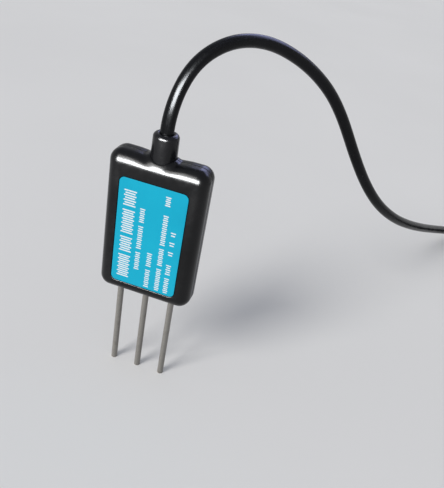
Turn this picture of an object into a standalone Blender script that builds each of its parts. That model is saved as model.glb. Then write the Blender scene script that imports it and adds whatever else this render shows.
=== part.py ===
# Soil moisture sensor: flat potted housing, three steel probes, cable outlet and 2 m cable.
# Units are metres, +Z is up. The origin is on the soil line, on the middle probe's axis;
# the label side of the housing faces -Y.
import math

import bmesh
import bpy
import numpy as np
from mathutils import Matrix, Vector

MM = 0.001

# ---- driving dimensions (mm) ----
GAP = 0.3                # clearance between touching pieces
HOUSING_W = 45.0
HOUSING_T = 15.0
HOUSING_H = 70.0
HOUSING_Z = 48.0         # underside of the housing above the soil
EDGE_R = 5.5             # rounding of every outer edge
WALL = 2.0
BASE_WALL = 2.5
TOP_WALL = 3.5
PARTING_Y = 0.0          # joint between the front and the rear shell
SADDLE_R = 60.0          # shallow dip across the top face
SADDLE_DEPTH = 1.1
LABEL_W, LABEL_H = 31.2, 53.0
LABEL_Z = HOUSING_Z + 32.9
LABEL_THICK = 0.25
LABEL_CORNER = 2.4
RECESS_DEPTH = 0.6
PROBE_R = 1.5
PROBE_X = (-13.0, 0.0, 13.0)
PROBE_TIP_Z = -5.0
PROBE_TOP_Z = 68.0
POINT_L = 4.5            # length of the ground point
NECK_R = 5.7
NECK_TOP_R = 5.55
NECK_TOP_Z = 128.4
NECK_BASE_Z = 117.0
SPOT_Z = NECK_BASE_Z - GAP
CABLE_R = 2.95
BORE_R = CABLE_R + GAP
BOARD_Y = 2.9            # front face of the circuit board
BOARD_T = 1.2
COIL_X, COIL_Y = 226.0, 236.0
COIL_R = 44.5            # centre line of the outermost turn
PITCH = 6.0
TIE_T = 1.0              # thickness of the cable tie's strap
COIL_FLOOR = TIE_T + GAP # the coil rests on its tie
HALF_TURNS = 2.99        # turns in each of the two layers
STEP_TURNS = 0.35        # turn spent in climbing to the second layer
TOTAL_TURNS = 2 * HALF_TURNS + STEP_TURNS
LEAD_R = 0.75
FLOOR_Z = CABLE_R + 0.05

# The cable's way from the outlet to the coil: up, over, and down to the soil behind.
ROUTE = (
    (0.0, 0.0, NECK_TOP_Z), (3.0, 10.0, 152.0), (17.0, 36.0, 163.5), (37.0, 63.0, 155.0),
    (57.0, 84.0, 135.0), (75.0, 98.0, 105.0), (94.0, 115.0, 76.0), (110.8, 136.6, 57.9),
    (124.3, 159.2, 45.9), (142.0, 194.0, 31.0), (160.5, 229.5, 17.4), (178.0, 254.0, 9.0),
    (199.5, 272.0, 5.0),
    (COIL_X, COIL_Y + COIL_R, COIL_FLOOR + FLOOR_Z),
)

for old in list(bpy.data.objects):
    bpy.data.objects.remove(old, do_unlink=True)

parts = bpy.data.collections.new("soil_moisture_sensor")
cutters = bpy.data.collections.new("cutters")
bpy.context.scene.collection.children.link(parts)
bpy.context.scene.collection.children.link(cutters)
root = bpy.data.objects.new("sensor_root", None)
parts.objects.link(root)


# ---- materials ----
def material(name, colour, roughness, metallic=0.0):
    mat = bpy.data.materials.new(name)
    mat.use_nodes = True
    shader = mat.node_tree.nodes["Principled BSDF"]
    shader.inputs["Base Color"].default_value = (*colour, 1.0)
    shader.inputs["Roughness"].default_value = roughness
    shader.inputs["Metallic"].default_value = metallic
    return mat


BLACK_ABS = material("black_abs", (0.012, 0.012, 0.014), 0.28)
SLEEVE_BLACK = material("sleeve_black", (0.02, 0.02, 0.022), 0.5)
STEEL = material("stainless_steel", (0.62, 0.61, 0.60), 0.3, 1.0)
LABEL_TEAL = material("label_teal", (0.02, 0.42, 0.55), 0.45)
BOARD_GREEN = material("board_green", (0.02, 0.16, 0.06), 0.4)
CHIP_BLACK = material("chip_black", (0.02, 0.02, 0.02), 0.5)
TIN = material("tin", (0.7, 0.7, 0.68), 0.35, 1.0)
BRASS = material("brass", (0.7, 0.5, 0.22), 0.35, 1.0)
EPOXY = material("epoxy_black", (0.03, 0.03, 0.03), 0.35)
NYLON = material("nylon_natural", (0.75, 0.74, 0.68), 0.5)
NYLON_BLACK = material("nylon_black", (0.02, 0.02, 0.02), 0.45)
RUBBER = material("seal_rubber", (0.03, 0.03, 0.03), 0.8)
JACKET = material("cable_pvc", (0.012, 0.012, 0.014), 0.3)
WIRES = {
    "brown": material("wire_brown", (0.20, 0.07, 0.03), 0.4),
    "black": material("wire_black", (0.015, 0.015, 0.015), 0.4),
    "yellow": material("wire_yellow", (0.80, 0.60, 0.03), 0.4),
    "blue": material("wire_blue", (0.02, 0.12, 0.55), 0.4),
}


# ---- modelling helpers ----
def keep(obj, mat, smooth=True, angle=35.0):
    parts.objects.link(obj)
    obj.parent = root
    if mat:
        obj.data.materials.append(mat)
    if obj.type == "MESH" and smooth:
        obj.data.shade_smooth()
        obj.data.set_sharp_from_angle(angle=math.radians(angle))
    return obj


def hide_cutter(obj):
    cutters.objects.link(obj)
    obj.hide_render = True
    obj.display_type = "WIRE"
    return obj


def box_object(name, size, centre):
    mesh = bpy.data.meshes.new(name)
    bm = bmesh.new()
    bmesh.ops.create_cube(bm, size=1.0, matrix=Matrix.Diagonal((*[s * MM for s in size], 1.0)))
    bm.to_mesh(mesh)
    bm.free()
    obj = bpy.data.objects.new(name, mesh)
    obj.location = [c * MM for c in centre]
    return obj


def bevel(obj, width, segments, only_vertical=None):
    mod = obj.modifiers.new("rounding", "BEVEL")
    mod.width = width * MM
    mod.segments = segments
    mod.limit_method = "NONE"
    if only_vertical is not None:
        weights = obj.data.attributes.new("bevel_weight_edge", "FLOAT", "EDGE")
        for edge in obj.data.edges:
            a, b = (obj.data.vertices[i].co for i in edge.vertices)
            along = (b - a).normalized()
            weights.data[edge.index].value = 1.0 if abs(along[only_vertical]) > 0.9 else 0.0
        mod.limit_method = "WEIGHT"
    return mod


def boolean(obj, cutter, operation="DIFFERENCE"):
    mod = obj.modifiers.new(operation.lower() + "_" + cutter.name, "BOOLEAN")
    mod.operation = operation
    mod.object = cutter
    mod.solver = "EXACT"
    return mod


def cylinder_object(name, radius, length, centre, axis="Z", segments=24):
    mesh = bpy.data.meshes.new(name)
    bm = bmesh.new()
    turn = {
        "X": Matrix.Rotation(math.radians(90), 4, "Y"),
        "Y": Matrix.Rotation(math.radians(90), 4, "X"),
        "Z": Matrix.Identity(4),
    }[axis]
    bmesh.ops.create_cone(
        bm, cap_ends=True, segments=segments, radius1=radius * MM, radius2=radius * MM,
        depth=length * MM, matrix=turn,
    )
    bm.to_mesh(mesh)
    bm.free()
    obj = bpy.data.objects.new(name, mesh)
    obj.location = [c * MM for c in centre]
    return obj


def turned(name, profile, steps, centre=(0.0, 0.0, 0.0), closed=True):
    """A solid of revolution about Z. The profile of (radius, height) runs down its outer side."""
    mesh = bpy.data.meshes.new(name)
    points = [(r * MM, 0.0, z * MM) for r, z in profile]
    edges = [(i, i + 1) for i in range(len(points) - 1)]
    if closed:
        edges.append((len(points) - 1, 0))
    mesh.from_pydata(points, edges, [])
    obj = bpy.data.objects.new(name, mesh)
    obj.location = [c * MM for c in centre]
    mod = obj.modifiers.new("turn", "SCREW")
    mod.axis = "Z"
    mod.angle = math.tau
    mod.steps = mod.render_steps = steps
    mod.use_merge_vertices = True
    mod.merge_threshold = 0.00001
    mod.use_smooth_shade = True
    return obj


def natural_spline(knots, per_mm, start=None, end=None):
    """Points every per_mm along a cubic spline through the knots, with chosen end directions."""
    p = np.array(knots, float)
    h = np.linalg.norm(np.diff(p, axis=0), axis=1)
    n = len(p)
    a = np.zeros((n, n))
    b = np.zeros((n, 3))
    slope = (p[1:] - p[:-1]) / h[:, None]
    for i in range(1, n - 1):
        a[i, i - 1], a[i, i], a[i, i + 1] = h[i - 1], 2 * (h[i - 1] + h[i]), h[i]
        b[i] = 6 * (slope[i] - slope[i - 1])
    if start is None:
        a[0, 0] = 1.0
    else:
        a[0, 0], a[0, 1] = 2 * h[0], h[0]
        b[0] = 6 * (slope[0] - np.array(start, float))
    if end is None:
        a[-1, -1] = 1.0
    else:
        a[-1, -1], a[-1, -2] = 2 * h[-1], h[-1]
        b[-1] = 6 * (np.array(end, float) - slope[-1])
    m = np.linalg.solve(a, b)
    fine = []
    for i in range(n - 1):
        for t in np.linspace(0.0, h[i], 60, endpoint=i == n - 2):
            u, v = h[i] - t, t
            fine.append(
                (m[i] * u**3 + m[i + 1] * v**3) / (6 * h[i])
                + (p[i] / h[i] - m[i] * h[i] / 6) * u
                + (p[i + 1] / h[i] - m[i + 1] * h[i] / 6) * v
            )
    return even(np.array(fine), per_mm)


def even(fine, per_mm):
    run = np.concatenate([[0.0], np.cumsum(np.linalg.norm(np.diff(fine, axis=0), axis=1))])
    count = max(2, int(round(run[-1] / per_mm)) + 1)
    at = np.linspace(0.0, run[-1], count)
    return np.stack([np.interp(at, run, fine[:, k]) for k in range(3)], axis=1)


def tube(name, points, radius, resolution=2):
    curve = bpy.data.curves.new(name, "CURVE")
    curve.dimensions = "3D"
    curve.bevel_depth = radius * MM
    curve.bevel_resolution = resolution
    curve.use_fill_caps = True
    spline = curve.splines.new("POLY")
    spline.points.add(len(points) - 1)
    for target, point in zip(spline.points, points):
        target.co = (point[0] * MM, point[1] * MM, point[2] * MM, 1.0)
    return bpy.data.objects.new(name, curve)


# ---- housing shells ----
housing_mid = (0.0, 0.0, HOUSING_Z + HOUSING_H / 2)
cavity = hide_cutter(box_object(
    "cavity",
    (HOUSING_W - 2 * WALL, HOUSING_T - 2 * WALL, HOUSING_H - BASE_WALL - TOP_WALL),
    (0.0, 0.0, HOUSING_Z + BASE_WALL + (HOUSING_H - BASE_WALL - TOP_WALL) / 2),
))
bevel(cavity, EDGE_R - WALL, 3)
saddle = hide_cutter(cylinder_object(
    "saddle", SADDLE_R, 30.0,
    (0.0, 0.0, HOUSING_Z + HOUSING_H - SADDLE_DEPTH + SADDLE_R), "Y", 180,
))
spot = hide_cutter(cylinder_object(
    "spot_face", NECK_R + GAP, 20.0, (0.0, 0.0, SPOT_Z + 10.0), "Z", 32))
stem_hole = hide_cutter(cylinder_object(
    "stem_hole", 4.5, 20.0, (0.0, 0.0, HOUSING_Z + HOUSING_H), "Z", 24))
flange_pocket = hide_cutter(cylinder_object(
    "flange_pocket", 5.4 + GAP, 6.6, (0.0, 0.0, 111.3), "Z", 32))
recess = hide_cutter(box_object(
    "label_recess", (LABEL_W + 2 * GAP, 4.0, LABEL_H + 2 * GAP),
    (0.0, -HOUSING_T / 2 + RECESS_DEPTH - 2.0, LABEL_Z),
))
bevel(recess, LABEL_CORNER + GAP, 4, only_vertical=1)
front_half = hide_cutter(box_object(
    "front_half", (80.0, 40.0, 100.0), (0.0, PARTING_Y - GAP / 2 - 20.0, housing_mid[2])))
rear_half = hide_cutter(box_object(
    "rear_half", (80.0, 40.0, 100.0), (0.0, PARTING_Y + GAP / 2 + 20.0, housing_mid[2])))


def shell(name, half):
    obj = box_object(name, (HOUSING_W, HOUSING_T, HOUSING_H), housing_mid)
    bevel(obj, EDGE_R, 5)
    keep(obj, BLACK_ABS)
    boolean(obj, half, "INTERSECT")
    boolean(obj, cavity)
    boolean(obj, saddle)
    boolean(obj, spot)
    boolean(obj, stem_hole)
    boolean(obj, flange_pocket)
    return obj


front_shell = shell("front_shell", front_half)
boolean(front_shell, recess)
rear_shell = shell("rear_shell", rear_half)
for side, x in zip(("left", "middle", "right"), PROBE_X):
    hole = hide_cutter(cylinder_object(
        "probe_hole_" + side, PROBE_R + GAP, 20.0, (x, 0.0, HOUSING_Z), "Z", 20))
    boolean(front_shell, hole)
    boolean(rear_shell, hole)

# ---- label in its recess ----
label = box_object(
    "label", (LABEL_W, LABEL_THICK, LABEL_H),
    (0.0, -HOUSING_T / 2 + RECESS_DEPTH - GAP - LABEL_THICK / 2, LABEL_Z))
bevel(label, LABEL_CORNER, 4, only_vertical=1)
keep(label, LABEL_TEAL)

# ---- cable outlet: sleeve, seal, crimp ring ----
sleeve = turned("cable_sleeve", [
    (BORE_R, NECK_TOP_Z), (NECK_TOP_R - 1.8, NECK_TOP_Z), (NECK_TOP_R - 0.9, NECK_TOP_Z - 0.24),
    (NECK_TOP_R - 0.24, NECK_TOP_Z - 0.9), (NECK_TOP_R, NECK_TOP_Z - 1.8), (NECK_R, NECK_BASE_Z), (4.2, NECK_BASE_Z), (4.2, 114.2),
    (5.4, 114.2), (5.4, 113.0), (BORE_R, 113.0), (BORE_R, 119.4), (4.7, 119.4),
    (4.7, 122.6), (BORE_R, 122.6),
], 24)
keep(sleeve, SLEEVE_BLACK)
keep(turned("sleeve_seal", [(BORE_R, 122.3), (4.4, 122.3), (4.4, 119.7), (BORE_R, 119.7)], 20), RUBBER)
keep(turned("crimp_ring", [(BORE_R, 112.6), (4.5, 112.6), (4.5, 110.6), (BORE_R, 110.6)], 20), TIN)

# ---- probes, their carrier and lugs ----
carrier = box_object("probe_carrier", (35.0, 6.4, 4.8), (0.0, 0.0, 53.7))
keep(carrier, NYLON, smooth=False)
for side, x in zip(("left", "middle", "right"), PROBE_X):
    probe = turned("probe_" + side, [
        (0.0, PROBE_TOP_Z), (PROBE_R, PROBE_TOP_Z), (PROBE_R, PROBE_TIP_Z + POINT_L),
        (0.35, PROBE_TIP_Z + 0.3), (0.0, PROBE_TIP_Z),
    ], 16, (x, 0.0, 0.0), closed=False)
    keep(probe, STEEL)
    boolean(carrier, hide_cutter(cylinder_object(
        "carrier_hole_" + side, PROBE_R + GAP, 20.0, (x, 0.0, 53.7), "Z", 20)))
    lug = box_object("probe_lug_" + side, (6.0, 5.0, 7.0), (x, 0.0, 62.2))
    keep(lug, BRASS, smooth=False)
    boolean(lug, hide_cutter(cylinder_object(
        "lug_hole_" + side, PROBE_R + GAP, 20.0, (x, 0.0, 62.2), "Z", 20)))

# ---- circuit board and what is on it ----
board = box_object("circuit_board", (36.0, BOARD_T, 48.5), (0.0, BOARD_Y + BOARD_T / 2, 81.75))
keep(board, BOARD_GREEN, smooth=False)


def on_board(name, size_x, height, size_z, x, z, mat):
    obj = box_object(name, (size_x, height, size_z), (x, BOARD_Y - GAP - height / 2, z))
    return keep(obj, mat, smooth=False)


on_board("mcu_chip", 7.0, 1.2, 7.0, -8.0, 84.0, CHIP_BLACK)
on_board("transceiver_chip", 5.0, 1.5, 4.0, 4.0, 93.0, CHIP_BLACK)
on_board("voltage_regulator", 6.5, 1.7, 3.6, -9.0, 95.0, CHIP_BLACK)
on_board("quartz_crystal", 5.0, 1.3, 3.2, -8.0, 75.5, TIN)
on_board("inductor", 4.4, 3.0, 4.4, 12.0, 92.0, CHIP_BLACK)
keep(cylinder_object("electrolytic_capacitor", 2.5, 5.4, (9.0, BOARD_Y - GAP - 2.7, 80.0), "Y", 20), TIN)

pads = {"brown": (-0.95, -0.95, -7.5), "black": (-0.95, 0.95, -2.5),
        "yellow": (0.95, 0.95, 2.5), "blue": (0.95, -0.95, 7.5)}
for colour, (x0, y0, x1) in pads.items():
    way = natural_spline([(x0, y0, 109.4), (x0, y0, 107.8), (0.5 * (x0 + x1), 0.5 * (y0 + 2.05), 104.2),
                          (x1, 2.05, 101.5), (x1, 2.05, 99.6)], 1.6, (0, 0, -1), (0, 0, -1))
    keep(tube("inner_wire_" + colour, way, 0.5), WIRES[colour])

# ---- potting on both sides of the board ----
for name, y0, y1 in (("potting_front", -5.2, -3.2), ("potting_rear", 4.4, 5.2)):
    slab = box_object(name, (35.0, y1 - y0, 55.0), (0.0, (y0 + y1) / 2, 82.5))
    bevel(slab, 3.0, 3, only_vertical=1)
    keep(slab, EPOXY)

# ---- cable from inside the housing to the coil ----
free = natural_spline(ROUTE, 1.0, (0, 0, 1), (1, 0, 0))
free[:, 2] = np.maximum(free[:, 2], FLOOR_Z)
ring_out = COIL_R + CABLE_R + 0.1
ring_in = COIL_R - PITCH * HALF_TURNS - CABLE_R - 0.2
away = np.hypot(free[:, 0] - COIL_X, free[:, 1] - COIL_Y)
end = int(np.argmax((away < ring_out + CABLE_R + GAP + 0.05) & (free[:, 0] > 150.0)))
inside = np.array([(0.0, 0.0, z) for z in np.arange(109.8, NECK_TOP_Z - 1.0, 1.0)])
keep(tube("cable", even(np.concatenate([inside, free[:end]]), 12.0), CABLE_R), JACKET)

# ---- coil: one turned ring round the two layers of turns ----
low, high = COIL_FLOOR, COIL_FLOOR + PITCH + 2 * FLOOR_Z
keep(turned("cable_coil", [
    (ring_in, high - 1.5), (ring_in + 1.5, high), (ring_out - 1.5, high), (ring_out, high - 1.5),
    (ring_out, low + 1.5), (ring_out - 1.5, low), (ring_in + 1.5, low), (ring_in, low + 1.5),
], 48, (COIL_X, COIL_Y, 0.0)), JACKET)

# ---- tail: leaves the upper layer along its tangent and comes down to the soil ----
leave = math.radians(90.0 - 360.0 * TOTAL_TURNS)
start = Vector((COIL_X + COIL_R * math.cos(leave), COIL_Y + COIL_R * math.sin(leave), low + PITCH + FLOOR_Z))
ahead = Vector((math.sin(leave), -math.cos(leave), 0.0))
TAIL = (
    start, start + 24.0 * ahead + Vector((0, 0, -2.0)), start + 50.0 * ahead + Vector((1.5, 0, -6.0)),
    start + 78.0 * ahead + Vector((6.0, 0, FLOOR_Z - start.z + 0.05)),
    start + 106.0 * ahead + Vector((14.0, 1.5, FLOOR_Z - start.z)),
)
tail = natural_spline(TAIL, 1.0, tuple(ahead), None)
tail[:, 2] = np.maximum(tail[:, 2], FLOOR_Z)
clear = np.hypot(tail[:, 0] - COIL_X, tail[:, 1] - COIL_Y) > ring_out + CABLE_R + GAP + 0.05
keep(tube("cable_tail", even(tail[int(np.argmax(clear)):], 12.0), CABLE_R), JACKET)

# ---- stripped leads at the far end ----
tip = Vector(tail[-1])
way = (tip - Vector(tail[-6])).normalized()
way.z = 0.0
way.normalize()
side_way = Vector((-way.y, way.x, 0.0))
leads = {"brown": (-0.95, 0.95, -10.0, 33.0), "black": (-0.95, -0.95, -3.6, 36.0),
         "yellow": (0.95, -0.95, 3.2, 35.0), "blue": (0.95, 0.95, 9.5, 32.0)}
for colour, (across, up, spread, reach) in leads.items():
    base = tip + way * GAP + side_way * across + Vector((0, 0, up))
    floor = Vector((0, 0, LEAD_R + 0.05 - tip.z))
    knots = [
        base, base + way * 3.0,
        tip + way * (reach * 0.45) + side_way * (spread * 0.45 + across) + Vector((0, 0, up * 0.4 - 1.2)),
        tip + way * (reach * 0.75) + side_way * (spread * 0.85) + floor,
        tip + way * reach + side_way * spread + floor,
    ]
    run = natural_spline([tuple(k) for k in knots], 3.2, tuple(way), None)
    run[:, 2] = np.maximum(run[:, 2], LEAD_R + 0.05)
    keep(tube("lead_" + colour, run, LEAD_R), WIRES[colour])
    last, before = Vector(run[-1]), Vector(run[-2])
    along = (last - before).normalized()
    strands = [last + along * (GAP + 6.0 * k / 3) for k in range(4)]
    keep(tube("lead_tip_" + colour, strands, 0.5), TIN)

# ---- cable tie round the coil's section ----
TIE_ANGLE = math.radians(180.0)
mid_r = (ring_in + ring_out) / 2
width = ring_out - ring_in + 2 * GAP
height = high - low + 2 * GAP
tie_mid = Vector((COIL_X + mid_r * math.cos(TIE_ANGLE), COIL_Y + mid_r * math.sin(TIE_ANGLE), (low + high) / 2))
tie = box_object("coil_tie", (width + 2 * TIE_T, 3.6, height + 2 * TIE_T), tie_mid)
bevel(tie, 2.2, 3, only_vertical=1)
window = hide_cutter(box_object("tie_window", (width, 12.0, height), tie_mid))
bevel(window, 1.2, 3, only_vertical=1)
tie_head = hide_cutter(box_object("tie_head", (5.0, 4.8, 3.4), tie_mid + Vector((3.0, 0.0, height / 2 + 1.75))))
bevel(tie_head, 0.5, 2)
tie_end = hide_cutter(box_object("tie_end", (1.1, 3.0, 12.0), tie_mid + Vector((3.0, 0.0, height / 2 + 8.5))))
keep(tie, NYLON_BLACK)
boolean(tie, window)
boolean(tie, tie_head, "UNION")
boolean(tie, tie_end, "UNION")
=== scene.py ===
import math

import bmesh
import bpy
import numpy as np
from mathutils import Matrix, Vector


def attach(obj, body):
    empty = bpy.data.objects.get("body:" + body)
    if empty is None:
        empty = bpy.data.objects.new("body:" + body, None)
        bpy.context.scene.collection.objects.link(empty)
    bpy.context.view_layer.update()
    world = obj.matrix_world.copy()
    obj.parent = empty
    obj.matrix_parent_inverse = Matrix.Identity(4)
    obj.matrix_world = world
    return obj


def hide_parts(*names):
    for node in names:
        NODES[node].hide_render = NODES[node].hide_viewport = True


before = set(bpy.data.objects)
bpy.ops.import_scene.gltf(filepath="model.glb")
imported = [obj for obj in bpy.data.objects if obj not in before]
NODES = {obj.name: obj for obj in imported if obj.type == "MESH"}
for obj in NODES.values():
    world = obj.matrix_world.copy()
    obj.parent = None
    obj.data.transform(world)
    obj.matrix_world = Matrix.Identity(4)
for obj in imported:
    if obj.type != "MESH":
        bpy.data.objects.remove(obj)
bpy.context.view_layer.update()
MM = 0.001
scene = bpy.context.scene
scene.view_settings.view_transform = "Standard"

# ---------------------------------------------------------------- camera
AZ, EL, ROLL = math.radians(11.2), math.radians(32.0), math.radians(11.43)
back = Vector((math.sin(AZ) * math.cos(EL), -math.cos(AZ) * math.cos(EL), math.sin(EL)))
level = Vector((math.cos(AZ), math.sin(AZ), 0.0))
upright = back.cross(level)
cam_x = math.cos(ROLL) * level + math.sin(ROLL) * upright
cam_y = -math.sin(ROLL) * level + math.cos(ROLL) * upright
camera_data = bpy.data.cameras.new("camera")
camera = bpy.data.objects.new("camera", camera_data)
scene.collection.objects.link(camera)
turn = Matrix((cam_x, cam_y, back)).transposed().to_4x4()
camera.matrix_world = Matrix.Translation(Vector((0.072628, -0.214779, 0.218088))) @ turn
camera_data.sensor_width = 36.0
camera_data.lens = 585.16 / 488.0 * 36.0
camera_data.shift_x = 0.00998
camera_data.shift_y = 0.01453
camera_data.clip_start = 0.01
camera_data.clip_end = 50.0
scene.camera = camera


# ---------------------------------------------------------------- mesh helpers
def mesh_object(name, verts, faces, smooth=True, angle=40.0, merge=None):
    mesh = bpy.data.meshes.new(name)
    mesh.from_pydata([tuple(v) for v in np.asarray(verts, float) * MM], [], faces)
    mesh.update()
    bm = bmesh.new()
    bm.from_mesh(mesh)
    if merge:
        bmesh.ops.remove_doubles(bm, verts=bm.verts, dist=merge * MM)
    bmesh.ops.recalc_face_normals(bm, faces=bm.faces)
    bm.to_mesh(mesh)
    bm.free()
    obj = bpy.data.objects.new(name, mesh)
    scene.collection.objects.link(obj)
    if smooth:
        mesh.shade_smooth()
        mesh.set_sharp_from_angle(angle=math.radians(angle))
    return obj


def settle(obj, angle=40.0):
    """Applies an object's modifiers."""
    graph = bpy.context.evaluated_depsgraph_get()
    mesh = bpy.data.meshes.new_from_object(obj.evaluated_get(graph))
    obj.modifiers.clear()
    obj.data = mesh
    mesh.shade_smooth()
    mesh.set_sharp_from_angle(angle=math.radians(angle))
    return obj


def boolean(obj, cutter, operation="DIFFERENCE"):
    mod = obj.modifiers.new("cut", "BOOLEAN")
    mod.operation = operation
    mod.object = cutter
    mod.solver = "EXACT"


def drop(*objs):
    for o in objs:
        bpy.data.objects.remove(o, do_unlink=True)


def turned(name, profile, steps, centre=(0.0, 0.0, 0.0), angle=40.0, ripple=None):
    """A closed solid of revolution about Z from a profile of (radius, height). A radius of 0 closes it on the axis."""
    verts, faces, rings = [], [], []
    open_ends = profile[0][0] == 0.0
    for k, (r, z) in enumerate(profile):
        if r == 0.0:
            rings.append([len(verts)])
            verts.append((centre[0], centre[1], centre[2] + z))
            continue
        ring = []
        for j in range(steps):
            a = math.tau * j / steps
            rr = r + (ripple(k, a) if ripple else 0.0)
            ring.append(len(verts))
            verts.append((centre[0] + rr * math.cos(a), centre[1] + rr * math.sin(a), centre[2] + z))
        rings.append(ring)
    pairs = list(zip(rings, rings[1:]))
    if not open_ends:
        pairs.append((rings[-1], rings[0]))
    for a, b in pairs:
        for j in range(steps):
            n = (j + 1) % steps
            if len(a) == 1:
                faces.append((a[0], b[j], b[n]))
            elif len(b) == 1:
                faces.append((a[j], b[0], a[n]))
            else:
                faces.append((a[j], b[j], b[n], a[n]))
    return mesh_object(name, verts, faces, angle=angle)


def arc(centre, r, start, end, n):
    """Points of an arc in (radius, height), angles in degrees."""
    return [(centre[0] + r * math.cos(math.radians(a)), centre[1] + r * math.sin(math.radians(a)))
            for a in np.linspace(start, end, n)]


def natural_spline(knots, per_mm, start=None, end=None):
    p = np.array(knots, float)
    h = np.linalg.norm(np.diff(p, axis=0), axis=1)
    n = len(p)
    a = np.zeros((n, n))
    b = np.zeros((n, 3))
    slope = (p[1:] - p[:-1]) / h[:, None]
    for i in range(1, n - 1):
        a[i, i - 1], a[i, i], a[i, i + 1] = h[i - 1], 2 * (h[i - 1] + h[i]), h[i]
        b[i] = 6 * (slope[i] - slope[i - 1])
    if start is None:
        a[0, 0] = 1.0
    else:
        a[0, 0], a[0, 1] = 2 * h[0], h[0]
        b[0] = 6 * (slope[0] - np.array(start, float))
    if end is None:
        a[-1, -1] = 1.0
    else:
        a[-1, -1], a[-1, -2] = 2 * h[-1], h[-1]
        b[-1] = 6 * (np.array(end, float) - slope[-1])
    m = np.linalg.solve(a, b)
    fine = []
    for i in range(n - 1):
        for t in np.linspace(0.0, h[i], 60, endpoint=i == n - 2):
            u, v = h[i] - t, t
            fine.append(
                (m[i] * u**3 + m[i + 1] * v**3) / (6 * h[i])
                + (p[i] / h[i] - m[i] * h[i] / 6) * u
                + (p[i + 1] / h[i] - m[i + 1] * h[i] / 6) * v
            )
    return even(np.array(fine), per_mm)


def even(fine, per_mm):
    run = np.concatenate([[0.0], np.cumsum(np.linalg.norm(np.diff(fine, axis=0), axis=1))])
    count = max(2, int(round(run[-1] / per_mm)) + 1)
    at = np.linspace(0.0, run[-1], count)
    return np.stack([np.interp(at, run, fine[:, k]) for k in range(3)], axis=1)


def carried_frames(path):
    """Tangent, normal and side vectors carried along a path without twist."""
    p = np.asarray(path, float)
    t = np.gradient(p, axis=0)
    t /= np.linalg.norm(t, axis=1)[:, None]
    n = np.cross(t[0], (0.31, 0.93, 0.2))
    n /= np.linalg.norm(n)
    ns = []
    for k in range(len(p)):
        n = n - t[k] * (n @ t[k])
        n = n / np.linalg.norm(n)
        ns.append(n)
    ns = np.array(ns)
    return t, ns, np.cross(t, ns)


def sweep(name, path, radius, sides, start_cap=(), end_cap=(), wobble=None, twist=0.0):
    """A closed tube. start_cap and end_cap are extra rings of (radius, distance along) beyond the ends, going out."""
    p = np.asarray(path, float)
    t, n, b = carried_frames(p)
    run = np.concatenate([[0.0], np.cumsum(np.linalg.norm(np.diff(p, axis=0), axis=1))])
    rings = [(p[0] - t[0] * d, n[0], b[0], r, -d) for r, d in reversed(start_cap)]
    rings += [(p[k], n[k], b[k], None, run[k]) for k in range(len(p))]
    rings += [(p[-1] + t[-1] * d, n[-1], b[-1], r, run[-1] + d) for r, d in end_cap]
    verts, along = [], []
    for c, nn, bb, r, s in rings:
        for j in range(sides):
            a = math.tau * j / sides + twist * s
            rr = radius if r is None else r
            if wobble and r is None:
                rr += wobble(a, s)
            verts.append(c + rr * (math.cos(a) * nn + math.sin(a) * bb))
            along.append((math.cos(a), math.sin(a), s * 0.1))
    faces = []
    for k in range(len(rings) - 1):
        for j in range(sides):
            m = (j + 1) % sides
            faces.append((k * sides + j, k * sides + m, (k + 1) * sides + m, (k + 1) * sides + j))
    last = (len(rings) - 1) * sides
    faces.append(tuple(reversed(range(sides))))
    faces.append(tuple(last + j for j in range(sides)))
    obj = mesh_object(name, verts, faces, angle=50.0)
    made = obj.data.attributes.new("along", "FLOAT_VECTOR", "POINT")
    made.data.foreach_set("vector", np.array(along, np.float32).ravel())
    return obj


def join(name, objs):
    """Joins objects into one mesh object, keeping their shading and attributes."""
    with bpy.context.temp_override(active_object=objs[0], selected_editable_objects=objs, object=objs[0]):
        bpy.ops.object.join()
    objs[0].name = name
    objs[0].data.name = name
    return objs[0]


def rounded_outline(cx, cz, hx, hz, r, corner=14, across=48, down=26, bunch=None):
    """Points of a rounded rectangle in XZ, each side and corner with its own count, going round from the lower right."""
    pts = []
    r = max(r, 0.0)
    ix, iz = hx - r, hz - r

    def span(n):
        s = np.linspace(-1.0, 1.0, n + 1)[:-1]
        return s

    for k in range(corner):
        a = math.radians(-90.0 + 90.0 * k / corner)
        pts.append((cx + ix + r * math.cos(a), cz - iz + r * math.sin(a)))
    for s in span(down):
        pts.append((cx + hx, cz + s * iz))
    for k in range(corner):
        a = math.radians(90.0 * k / corner)
        pts.append((cx + ix + r * math.cos(a), cz + iz + r * math.sin(a)))
    for s in span(across):
        pts.append((cx - s * ix, cz + hz))
    for k in range(corner):
        a = math.radians(90.0 + 90.0 * k / corner)
        pts.append((cx - ix + r * math.cos(a), cz + iz + r * math.sin(a)))
    for s in span(down):
        pts.append((cx - hx, cz - s * iz))
    for k in range(corner):
        a = math.radians(180.0 + 90.0 * k / corner)
        pts.append((cx - ix + r * math.cos(a), cz - iz + r * math.sin(a)))
    for s in span(across):
        pts.append((cx + s * ix, cz - hz))
    return np.array(pts)


def loft(name, layers, move=None, merge=0.002, angle=40.0):
    """A closed solid through layers of (outline points in XZ, y). Its two ends are filled by a face each."""
    verts, faces = [], []
    n = len(layers[0][0])
    for pts, y in layers:
        for x, z in pts:
            verts.append((x, y, z))
    for k in range(len(layers) - 1):
        for j in range(n):
            m = (j + 1) % n
            faces.append((k * n + j, k * n + m, (k + 1) * n + m, (k + 1) * n + j))
    last = (len(layers) - 1) * n
    faces.append(tuple(reversed(range(n))))
    faces.append(tuple(last + j for j in range(n)))
    verts = np.array(verts)
    if move is not None:
        verts = move(verts)
    return mesh_object(name, verts, faces, merge=merge, angle=angle)


def smoothstep(t):
    t = np.clip(t, 0.0, 1.0)
    return t * t * (3.0 - 2.0 * t)


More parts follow.
